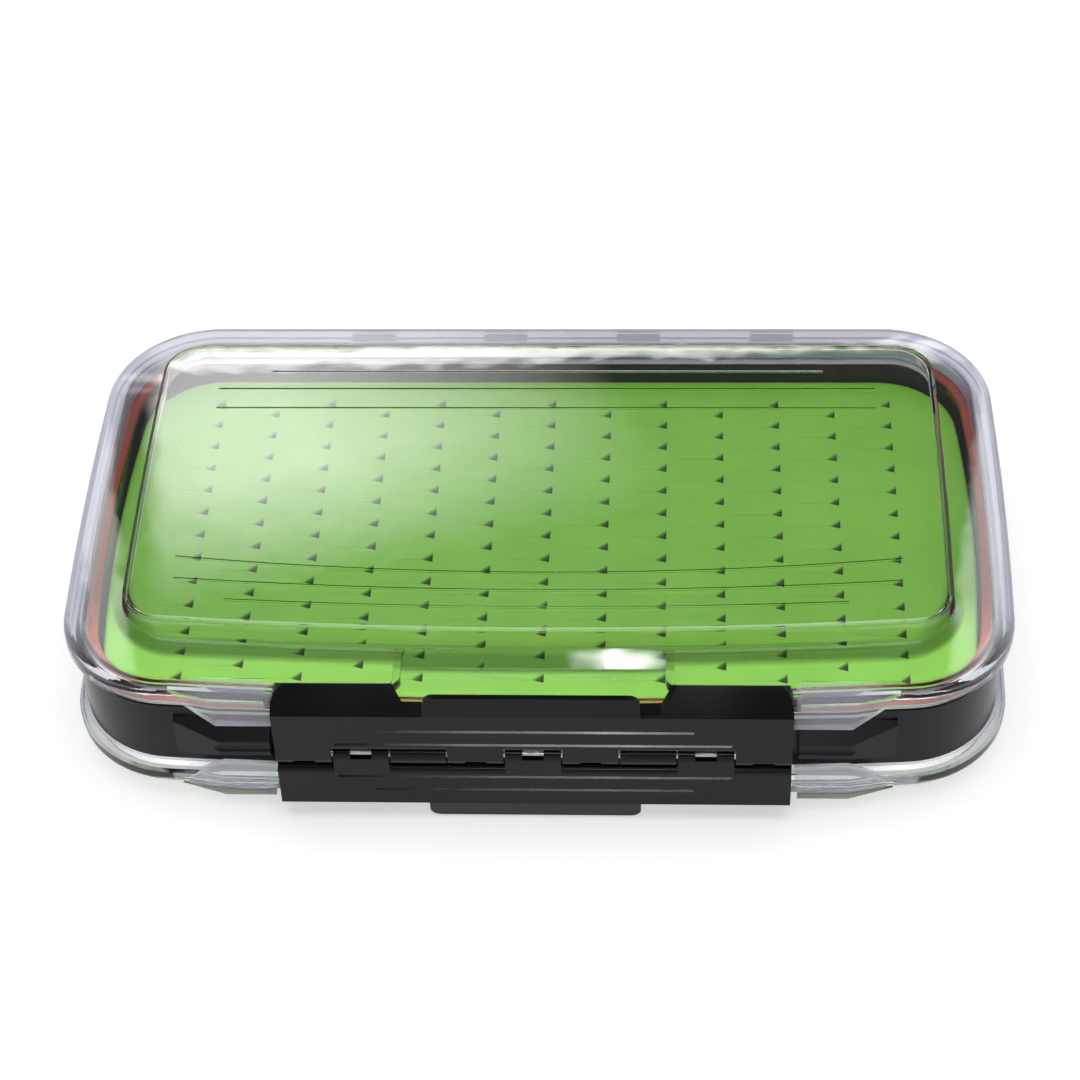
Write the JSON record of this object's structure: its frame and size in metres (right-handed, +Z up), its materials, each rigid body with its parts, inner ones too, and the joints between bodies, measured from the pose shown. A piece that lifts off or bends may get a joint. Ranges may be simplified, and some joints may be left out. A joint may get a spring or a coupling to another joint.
{
  "type": "fly box",
  "caption": "Two-sided waterproof fly box: clear hinged lids over green slit silicone pads in a black frame, with rubber gaskets and snap latches.",
  "frame": {"origin": "under the middle of the closed box, on the plane of the lower panel that it rests on", "axes": "+X along the box to the right, seen from the latches; +Y from the latches to the hinge; +Z up"},
  "size_m": [0.195, 0.1192, 0.037],
  "materials": {
    "black_frame": "moulded black plastic, glossy",
    "black_latch": "moulded black plastic, glossy",
    "clear_lid": "clear moulded polycarbonate, polished",
    "gasket_rubber": "orange-red silicone rubber",
    "pad_silicone": "bright green silicone, soft sheen",
    "pin_steel": "drawn stainless steel wire"
  },
  "bodies": {
    "body": {"frame": "black_frame", "upper_gasket": "gasket_rubber", "lower_gasket": "gasket_rubber", "upper_pad": "pad_silicone", "lower_pad": "pad_silicone", "hinge_pin": "pin_steel", "latch_pin": "pin_steel"},
    "top_lid_body": {"top_lid": "clear_lid"},
    "bottom_lid_body": {"bottom_lid": "clear_lid"},
    "upper_latch_body": {"upper_latch": "black_latch"},
    "lower_latch_body": {"lower_latch": "black_latch"}
  },
  "joints": [
    {"name": "top_lid_hinge", "type": "hinge", "parent": "body", "child": "top_lid_body", "pos_m": [0, 0.0566, 0.0185], "axis": [-1, 0, 0], "range_deg": [0, 90]},
    {"name": "bottom_lid_hinge", "type": "hinge", "parent": "body", "child": "bottom_lid_body", "pos_m": [0, 0.0566, 0.0185], "axis": [1, 0, 0], "range_deg": [0, 90]},
    {"name": "upper_latch_hinge", "type": "hinge", "parent": "body", "child": "upper_latch_body", "pos_m": [0, -0.0574, 0.0185], "axis": [1, 0, 0], "range_deg": [0, 45]},
    {"name": "lower_latch_hinge", "type": "hinge", "parent": "body", "child": "lower_latch_body", "pos_m": [0, -0.0574, 0.0185], "axis": [-1, 0, 0], "range_deg": [0, 45]}
  ]
}
